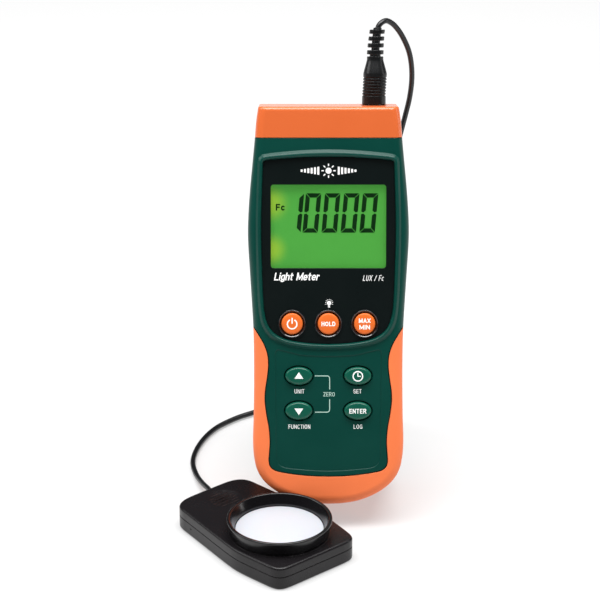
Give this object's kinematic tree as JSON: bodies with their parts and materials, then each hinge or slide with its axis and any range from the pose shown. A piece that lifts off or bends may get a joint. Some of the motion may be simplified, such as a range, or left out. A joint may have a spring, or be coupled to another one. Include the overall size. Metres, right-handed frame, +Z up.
{
  "type": "light meter",
  "caption": "Handheld digital light meter leaning on its tilt stand, with a remote sensor head under a domed diffuser on a cable.",
  "frame": {"origin": "centre of the bounding box in plan, on the floor the meter and its sensor head stand on", "axes": "+Z up, -Y towards the viewer and the display, +X to the viewer's right; the meter leans back 19 degrees towards +Y"},
  "size_m": [0.1076, 0.1916, 0.2132],
  "materials": {
    "case_green": "moulded dark green plastic, fine grain, satin",
    "grip_orange": "soft orange over-moulded grip, satin",
    "cap_orange": "moulded orange plastic, semi-gloss",
    "panel_black": "black printed front panel with white legends",
    "lens_clear": "clear display window",
    "lcd_green": "back-lit green liquid crystal panel with dark segments",
    "light_guide": "white light guide",
    "key_green": "moulded green key with white legend nearby",
    "key_orange": "moulded orange key",
    "head_black": "black moulded plastic, satin",
    "collar_black": "black moulded collar, satin to gloss",
    "diffuser_white": "opal white diffuser",
    "filter_glass": "blue-green optical filter glass",
    "steel": "nickel plated steel",
    "brass": "turned brass",
    "board_green": "solder-masked circuit board",
    "cable_black": "black flexible cable and moulded strain relief",
    "inner_black": "black internal plastic",
    "cell": "sleeved metal battery cell",
    "card_blue": "dark blue memory card",
    "grey_plastic": "grey plastic",
    "black_metal": "black plated metal socket"
  },
  "bodies": {
    "meter": {"front_case": "case_green", "rear_case": "case_green", "grip_boot": "grip_orange", "top_cap": "cap_orange", "display_panel": "panel_black", "display_window": "lens_clear", "lcd_glass": "lcd_green", "backlight_guide": "light_guide", "keypad_mat": "inner_black", "main_board": "board_green", "buzzer": "inner_black", "sd_socket": "steel", "port_plate": "inner_black", "dc_jack": "inner_black", "serial_jack": "inner_black", "reset_switch": "inner_black", "input_jack": "black_metal", "sensor_cable": "cable_black", "battery_tray": "inner_black", "battery_contacts_left": "steel", "battery_contacts_right": "steel", "tripod_insert": "brass", "battery_1": "cell", "battery_2": "cell", "battery_3": "cell", "battery_4": "cell", "battery_5": "cell", "battery_6": "cell", "case_screw_1": "steel", "case_screw_2": "steel", "case_screw_3": "steel", "case_screw_4": "steel"},
    "power_button": {"power_button": "key_orange"},
    "hold_button": {"hold_button": "key_orange"},
    "max_min_button": {"max_min_button": "key_orange"},
    "up_button": {"up_button": "key_green"},
    "down_button": {"down_button": "key_green"},
    "set_button": {"set_button": "key_green"},
    "enter_button": {"enter_button": "key_green"},
    "reset_button": {"reset_button": "grey_plastic"},
    "battery_door": {"battery_door": "case_green", "battery_door_screw_left": "steel", "battery_door_screw_right": "steel", "stand_hinge_pin": "steel"},
    "tilt_stand": {"tilt_stand": "inner_black"},
    "side_door": {"side_door": "grip_orange"},
    "sd_card": {"sd_card": "card_blue"},
    "probe_plug": {"plug_barrel": "steel", "plug_grip": "cable_black"},
    "sensor_head": {"sensor_lower_housing": "head_black", "sensor_upper_housing": "head_black", "sensor_ring": "collar_black", "diffuser_dome": "diffuser_white", "optical_filter": "filter_glass", "photodiode": "black_metal", "sensor_board": "board_green", "cable_clamp": "grey_plastic", "sensor_screw_1": "steel", "sensor_screw_2": "steel"}
  },
  "joints": [
    {"name": "power_press", "type": "slide", "parent": "meter", "child": "power_button", "axis": [0, 0.9455, -0.3256], "range_m": [0, 0.0008], "stiffness_N_per_m": 400},
    {"name": "hold_press", "type": "slide", "parent": "meter", "child": "hold_button", "axis": [0, 0.9455, -0.3256], "range_m": [0, 0.0008], "stiffness_N_per_m": 400},
    {"name": "max_min_press", "type": "slide", "parent": "meter", "child": "max_min_button", "axis": [0, 0.9455, -0.3256], "range_m": [0, 0.0008], "stiffness_N_per_m": 400},
    {"name": "up_press", "type": "slide", "parent": "meter", "child": "up_button", "axis": [0, 0.9455, -0.3256], "range_m": [0, 0.0008], "stiffness_N_per_m": 400},
    {"name": "down_press", "type": "slide", "parent": "meter", "child": "down_button", "axis": [0, 0.9455, -0.3256], "range_m": [0, 0.0008], "stiffness_N_per_m": 400},
    {"name": "set_press", "type": "slide", "parent": "meter", "child": "set_button", "axis": [0, 0.9455, -0.3256], "range_m": [0, 0.0008], "stiffness_N_per_m": 400},
    {"name": "enter_press", "type": "slide", "parent": "meter", "child": "enter_button", "axis": [0, 0.9455, -0.3256], "range_m": [0, 0.0008], "stiffness_N_per_m": 400},
    {"name": "reset_press", "type": "slide", "parent": "meter", "child": "reset_button", "axis": [-1, 0, 0], "range_m": [0, 0.0005], "stiffness_N_per_m": 400},
    {"name": "battery_door_lift", "type": "slide", "parent": "meter", "child": "battery_door", "axis": [0, 0.9455, -0.3256], "range_m": [0, 0.014]},
    {"name": "stand_fold", "type": "hinge", "parent": "battery_door", "child": "tilt_stand", "pos_m": [0.01392, 0.03319, 0.09215], "axis": [1, 0, 0], "range_deg": [-39.5, 0]},
    {"name": "side_door_swing", "type": "hinge", "parent": "meter", "child": "side_door", "pos_m": [0.04782, -0.00029, 0.0508], "axis": [0, 0.3256, 0.9455], "range_deg": [0, 80]},
    {"name": "sd_card_slide", "type": "slide", "parent": "meter", "child": "sd_card", "axis": [0, -0.3256, -0.9455], "range_m": [-0.001, 0.01]},
    {"name": "plug_lift", "type": "slide", "parent": "meter", "child": "probe_plug", "axis": [0, 0.3256, 0.9455], "range_m": [0, 0.014], "deforming": ["sensor_cable"]},
    {"name": "sensor_swing", "type": "hinge", "parent": "meter", "child": "sensor_head", "pos_m": [-0.03814, -0.02028, 0.0062], "axis": [0, 0, 1], "range_deg": [-40, 0], "deforming": ["sensor_cable"]}
  ]
}
